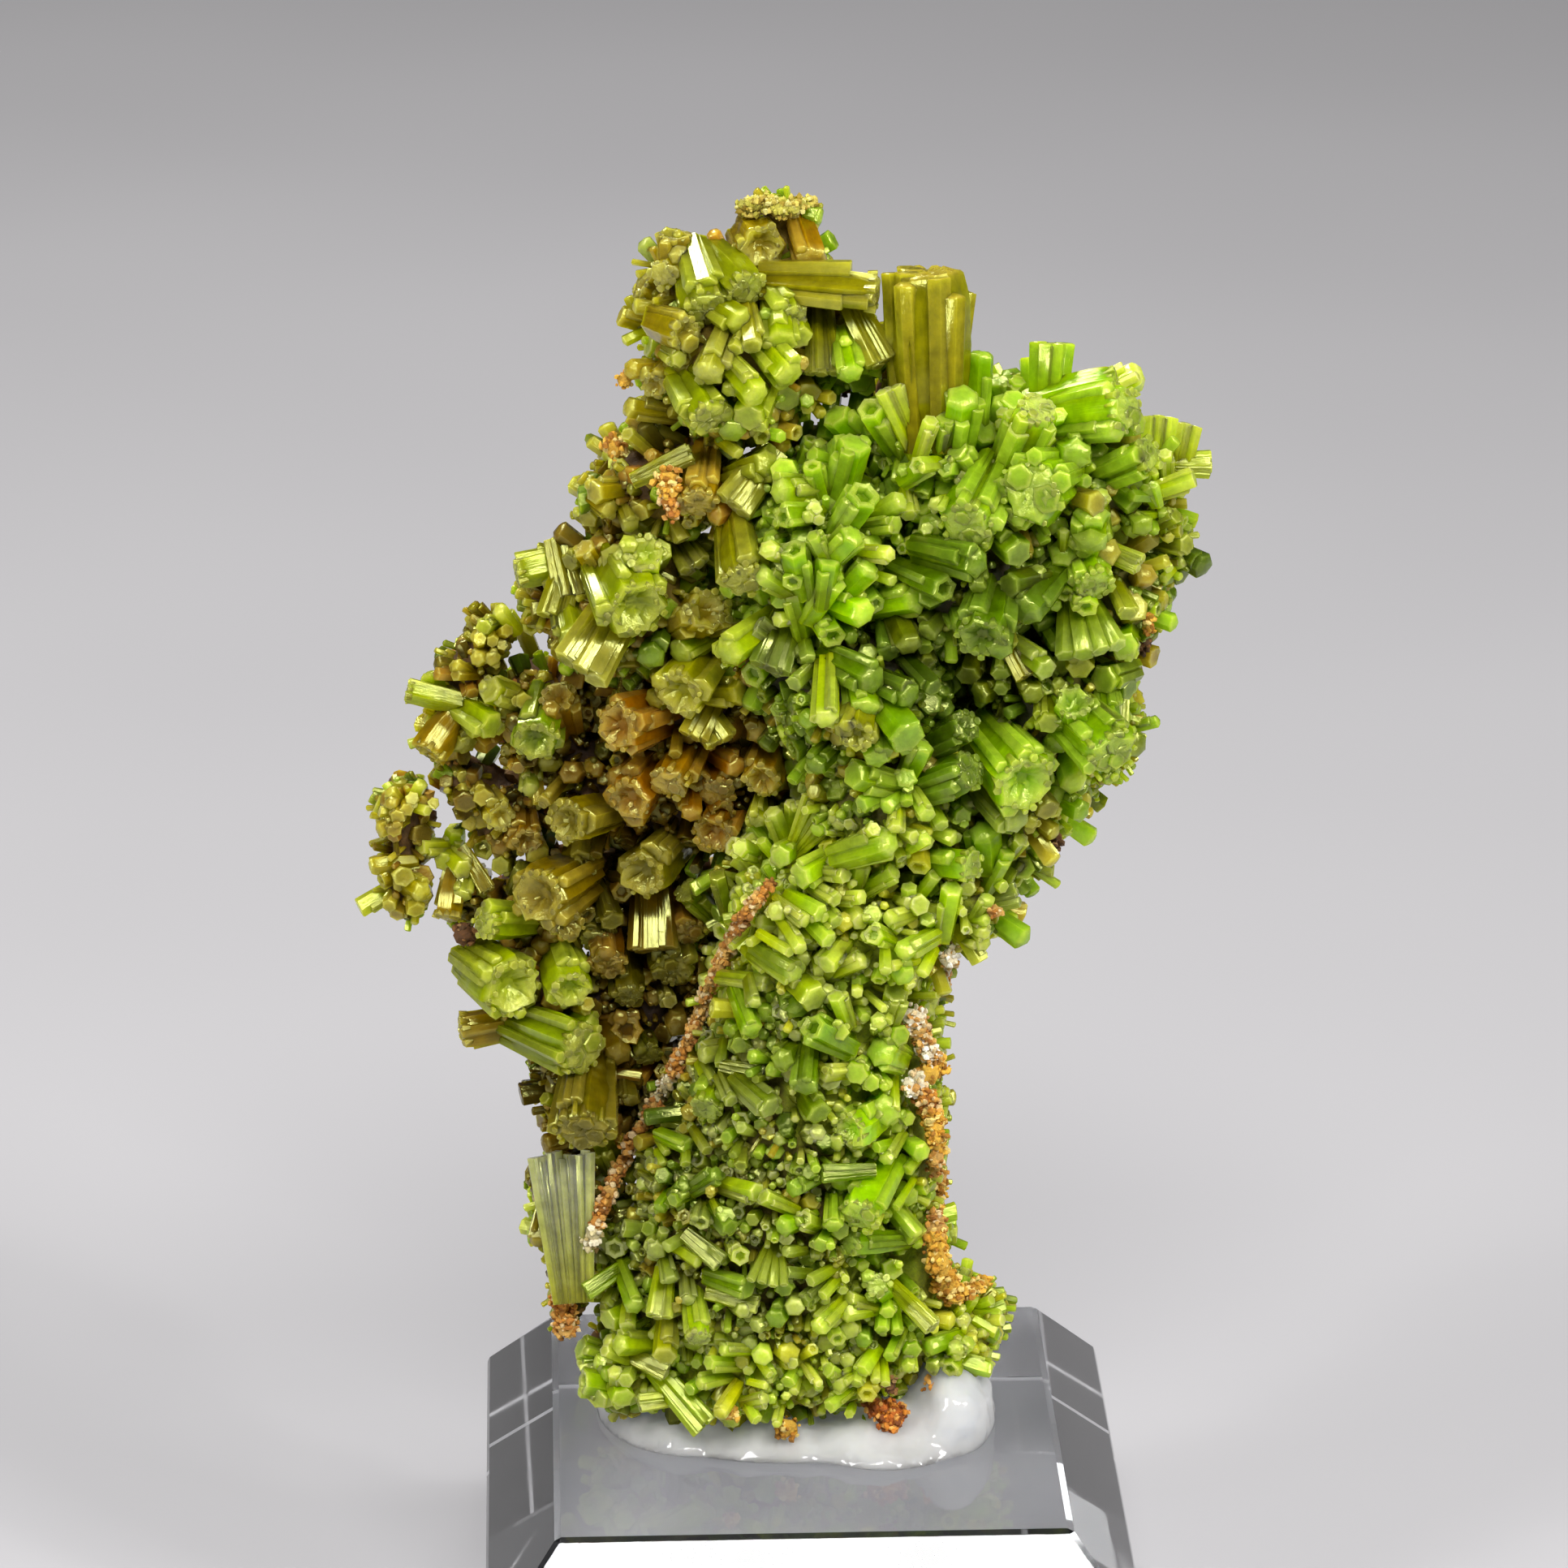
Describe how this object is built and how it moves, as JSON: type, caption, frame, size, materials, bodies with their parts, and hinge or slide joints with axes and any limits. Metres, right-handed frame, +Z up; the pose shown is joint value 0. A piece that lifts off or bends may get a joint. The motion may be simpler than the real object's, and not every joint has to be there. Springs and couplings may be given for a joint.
{
  "type": "pyromorphite mineral specimen on a display block",
  "caption": "Branching cluster of green hexagonal pyromorphite crystals on rusty limonite, held by clear gel on a bevelled clear acrylic display block.",
  "frame": {"origin": "middle of the clear block's underside, where it rests on a shelf", "axes": "+Z up through the specimen, -Y toward the crystal-covered side that is shown, +X to the right as seen from there"},
  "size_m": [0.052, 0.04, 0.0989],
  "materials": {
    "clear_acrylic": "clear, polished, with crisp bevels",
    "mounting_gel": "clear to milky gel, wet gloss",
    "pyromorphite": "waxy, translucent green to olive, paler frosted crystal ends",
    "limonite": "dull rusty brown, granular and porous"
  },
  "bodies": {
    "root": {"acrylic_base": "clear_acrylic", "mounting_gel": "mounting_gel", "pyromorphite_specimen": "pyromorphite"}
  },
  "joints": []
}
